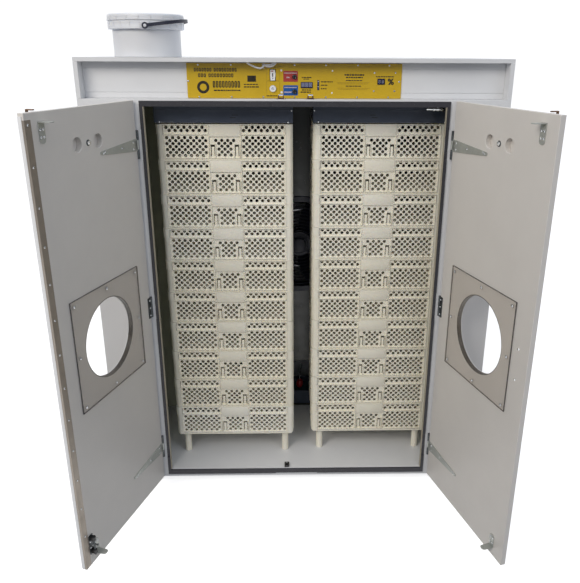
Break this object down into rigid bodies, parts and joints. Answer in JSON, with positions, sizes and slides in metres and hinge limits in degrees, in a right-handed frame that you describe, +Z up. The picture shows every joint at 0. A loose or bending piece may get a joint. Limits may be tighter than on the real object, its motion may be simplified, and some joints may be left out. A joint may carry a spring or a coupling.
{
  "type": "cabinet egg incubator",
  "caption": "Upright insulated cabinet with a pair of glazed doors, stacked hatching crates on legged stands, a rear fan, a header control panel and a lidded water pail.",
  "frame": {"origin": "middle of the plinth's underside, on the ground under the middle of the cabinet's footprint", "axes": "+Z up, -Y out of the front where the doors open, +X to the right seen from the front"},
  "size_m": [1.2065, 1.0451, 1.4923],
  "materials": {
    "white_board": "semi-gloss white board",
    "door_board": "satin off-white board",
    "seal_rubber": "matt black",
    "panel_yellow": "glossy printed overlay",
    "switch_white": "moulded white",
    "button_black": "moulded black",
    "lead_white": "white flexible lead",
    "dark_liner": "glossy dark olive sheet",
    "black_sheet": "satin black sheet",
    "fan_blue": "dark navy enamel",
    "steel": "plain steel",
    "aged_brass": "aged, dull",
    "bright_metal": "bright plated",
    "clear_pane": "clear acrylic",
    "bronze_strip": "brown anodised angle",
    "bolt_black": "black enamel",
    "pail_plastic": "translucent bluish white",
    "bail_navy": "dark grey-navy moulded strap",
    "crate_ivory": "warm ivory moulded plastic"
  },
  "bodies": {
    "cabinet": {"side_panel_left": "white_board", "side_panel_right": "white_board", "back_panel": "white_board", "floor_panel": "white_board", "ceiling_panel": "white_board", "front_frame": "white_board", "door_seal": "seal_rubber", "header_top": "white_board", "header_fascia": "white_board", "control_panel": "panel_yellow", "panel_lead": "lead_white", "rear_baffle": "dark_liner", "hood_left": "black_sheet", "hood_right": "black_sheet", "fan_housing": "fan_blue", "heater": "steel", "water_pan": "black_sheet", "probe": "bright_metal", "stand_left": "crate_ivory", "stand_right": "crate_ivory"},
    "door_left": {"door_left": "door_board", "pane_left": "clear_pane", "meeting_strip": "bronze_strip", "bolt_housing": "bolt_black"},
    "door_right": {"door_right": "door_board", "pane_right": "clear_pane", "handle_right": "bright_metal"},
    "vent_shutter_left": {"vent_shutter_left": "door_board"},
    "vent_shutter_right": {"vent_shutter_right": "door_board"},
    "hook_left": {"hook_left": "aged_brass"},
    "hook_right": {"hook_right": "aged_brass"},
    "bolt_rod": {"bolt_rod": "bolt_black"},
    "fan_rotor": {"fan_rotor": "fan_blue"},
    "power_switch": {"power_switch": "switch_white"},
    "mode_button": {"mode_button": "switch_white"},
    "up_button": {"up_button": "button_black"},
    "down_button": {"down_button": "button_black"},
    "pail": {"pail": "pail_plastic"},
    "pail_lid": {"pail_lid": "pail_plastic"},
    "pail_bail": {"pail_bail": "bail_navy"},
    "crate_left_01": {"crate_left_01": "crate_ivory"},
    "crate_left_02": {"crate_left_02": "crate_ivory"},
    "crate_left_03": {"crate_left_03": "crate_ivory"},
    "crate_left_04": {"crate_left_04": "crate_ivory"},
    "crate_left_05": {"crate_left_05": "crate_ivory"},
    "crate_left_06": {"crate_left_06": "crate_ivory"},
    "crate_left_07": {"crate_left_07": "crate_ivory"},
    "crate_left_08": {"crate_left_08": "crate_ivory"},
    "crate_left_09": {"crate_left_09": "crate_ivory"},
    "crate_left_10": {"crate_left_10": "crate_ivory"},
    "crate_right_01": {"crate_right_01": "crate_ivory"},
    "crate_right_02": {"crate_right_02": "crate_ivory"},
    "crate_right_03": {"crate_right_03": "crate_ivory"},
    "crate_right_04": {"crate_right_04": "crate_ivory"},
    "crate_right_05": {"crate_right_05": "crate_ivory"},
    "crate_right_06": {"crate_right_06": "crate_ivory"},
    "crate_right_07": {"crate_right_07": "crate_ivory"},
    "crate_right_08": {"crate_right_08": "crate_ivory"},
    "crate_right_09": {"crate_right_09": "crate_ivory"},
    "crate_right_10": {"crate_right_10": "crate_ivory"}
  },
  "joints": [
    {"name": "door_left_hinge", "type": "hinge", "parent": "cabinet", "child": "door_left", "pos_m": [-0.445, -0.31, 0.656], "axis": [0, 0, -1], "range_deg": [-108, 10]},
    {"name": "door_right_hinge", "type": "hinge", "parent": "cabinet", "child": "door_right", "pos_m": [0.445, -0.31, 0.656], "axis": [0, 0, 1], "range_deg": [-106.5, 10]},
    {"name": "vent_shutter_left_turn", "type": "hinge", "parent": "door_left", "child": "vent_shutter_left", "pos_m": [-0.53112, -0.5207, 1.181], "axis": [0.9511, -0.309, 0], "range_deg": [0, 90]},
    {"name": "vent_shutter_right_turn", "type": "hinge", "parent": "door_right", "child": "vent_shutter_right", "pos_m": [0.52558, -0.52288, 1.181], "axis": [-0.9588, -0.284, 0], "range_deg": [0, 90]},
    {"name": "hook_left_swing", "type": "hinge", "parent": "door_left", "child": "hook_left", "pos_m": [-0.58947, -0.69153, 1.222], "axis": [-0.309, -0.9511, 0], "range_deg": [0, 120]},
    {"name": "hook_right_swing", "type": "hinge", "parent": "door_right", "child": "hook_right", "pos_m": [0.57943, -0.69518, 1.222], "axis": [-0.284, 0.9588, 0], "range_deg": [0, 120]},
    {"name": "bolt_slide", "type": "slide", "parent": "door_left", "child": "bolt_rod", "axis": [0, 0, -1], "range_m": [0, 0.008]},
    {"name": "fan_spin", "type": "hinge", "parent": "cabinet", "child": "fan_rotor", "pos_m": [0.015, 0.13, 0.733], "axis": [0, 1, 0], "continuous": true},
    {"name": "power_rocker", "type": "hinge", "parent": "cabinet", "child": "power_switch", "pos_m": [-0.065, -0.2619, 1.334], "axis": [1, 0, 0], "range_deg": [0, 14]},
    {"name": "mode_press", "type": "slide", "parent": "cabinet", "child": "mode_button", "axis": [0, 1, 0], "range_m": [0, 0.003], "stiffness_N_per_m": 300},
    {"name": "up_press", "type": "slide", "parent": "cabinet", "child": "up_button", "axis": [0, 1, 0], "range_m": [0, 0.003], "stiffness_N_per_m": 300},
    {"name": "down_press", "type": "slide", "parent": "cabinet", "child": "down_button", "axis": [0, 1, 0], "range_m": [0, 0.003], "stiffness_N_per_m": 300},
    {"name": "pail_lift", "type": "slide", "parent": "cabinet", "child": "pail", "axis": [0, 0, 1], "range_m": [0, 0.15]},
    {"name": "pail_lid_lift", "type": "slide", "parent": "pail", "child": "pail_lid", "axis": [0, 0, 1], "range_m": [0, 0.06]},
    {"name": "pail_bail_swing", "type": "hinge", "parent": "pail", "child": "pail_bail", "pos_m": [-0.4215, -0.188, 1.4603], "axis": [0.1736, -0.9848, 0], "range_deg": [-8, 172]},
    {"name": "crate_left_01_draw", "type": "slide", "parent": "cabinet", "child": "crate_left_01", "axis": [0, -1, 0], "range_m": [0, 0.32]},
    {"name": "crate_left_02_draw", "type": "slide", "parent": "cabinet", "child": "crate_left_02", "axis": [0, -1, 0], "range_m": [0, 0.32]},
    {"name": "crate_left_03_draw", "type": "slide", "parent": "cabinet", "child": "crate_left_03", "axis": [0, -1, 0], "range_m": [0, 0.32]},
    {"name": "crate_left_04_draw", "type": "slide", "parent": "cabinet", "child": "crate_left_04", "axis": [0, -1, 0], "range_m": [0, 0.32]},
    {"name": "crate_left_05_draw", "type": "slide", "parent": "cabinet", "child": "crate_left_05", "axis": [0, -1, 0], "range_m": [0, 0.32]},
    {"name": "crate_left_06_draw", "type": "slide", "parent": "cabinet", "child": "crate_left_06", "axis": [0, -1, 0], "range_m": [0, 0.32]},
    {"name": "crate_left_07_draw", "type": "slide", "parent": "cabinet", "child": "crate_left_07", "axis": [0, -1, 0], "range_m": [0, 0.32]},
    {"name": "crate_left_08_draw", "type": "slide", "parent": "cabinet", "child": "crate_left_08", "axis": [0, -1, 0], "range_m": [0, 0.32]},
    {"name": "crate_left_09_draw", "type": "slide", "parent": "cabinet", "child": "crate_left_09", "axis": [0, -1, 0], "range_m": [0, 0.32]},
    {"name": "crate_left_10_draw", "type": "slide", "parent": "cabinet", "child": "crate_left_10", "axis": [0, -1, 0], "range_m": [0, 0.32]},
    {"name": "crate_right_01_draw", "type": "slide", "parent": "cabinet", "child": "crate_right_01", "axis": [0, -1, 0], "range_m": [0, 0.08]},
    {"name": "crate_right_02_draw", "type": "slide", "parent": "cabinet", "child": "crate_right_02", "axis": [0, -1, 0], "range_m": [0, 0.08]},
    {"name": "crate_right_03_draw", "type": "slide", "parent": "cabinet", "child": "crate_right_03", "axis": [0, -1, 0], "range_m": [0, 0.08]},
    {"name": "crate_right_04_draw", "type": "slide", "parent": "cabinet", "child": "crate_right_04", "axis": [0, -1, 0], "range_m": [0, 0.08]},
    {"name": "crate_right_05_draw", "type": "slide", "parent": "cabinet", "child": "crate_right_05", "axis": [0, -1, 0], "range_m": [0, 0.08]},
    {"name": "crate_right_06_draw", "type": "slide", "parent": "cabinet", "child": "crate_right_06", "axis": [0, -1, 0], "range_m": [0, 0.08]},
    {"name": "crate_right_07_draw", "type": "slide", "parent": "cabinet", "child": "crate_right_07", "axis": [0, -1, 0], "range_m": [0, 0.08]},
    {"name": "crate_right_08_draw", "type": "slide", "parent": "cabinet", "child": "crate_right_08", "axis": [0, -1, 0], "range_m": [0, 0.08]},
    {"name": "crate_right_09_draw", "type": "slide", "parent": "cabinet", "child": "crate_right_09", "axis": [0, -1, 0], "range_m": [0, 0.08]},
    {"name": "crate_right_10_draw", "type": "slide", "parent": "cabinet", "child": "crate_right_10", "axis": [0, -1, 0], "range_m": [0, 0.08]}
  ]
}
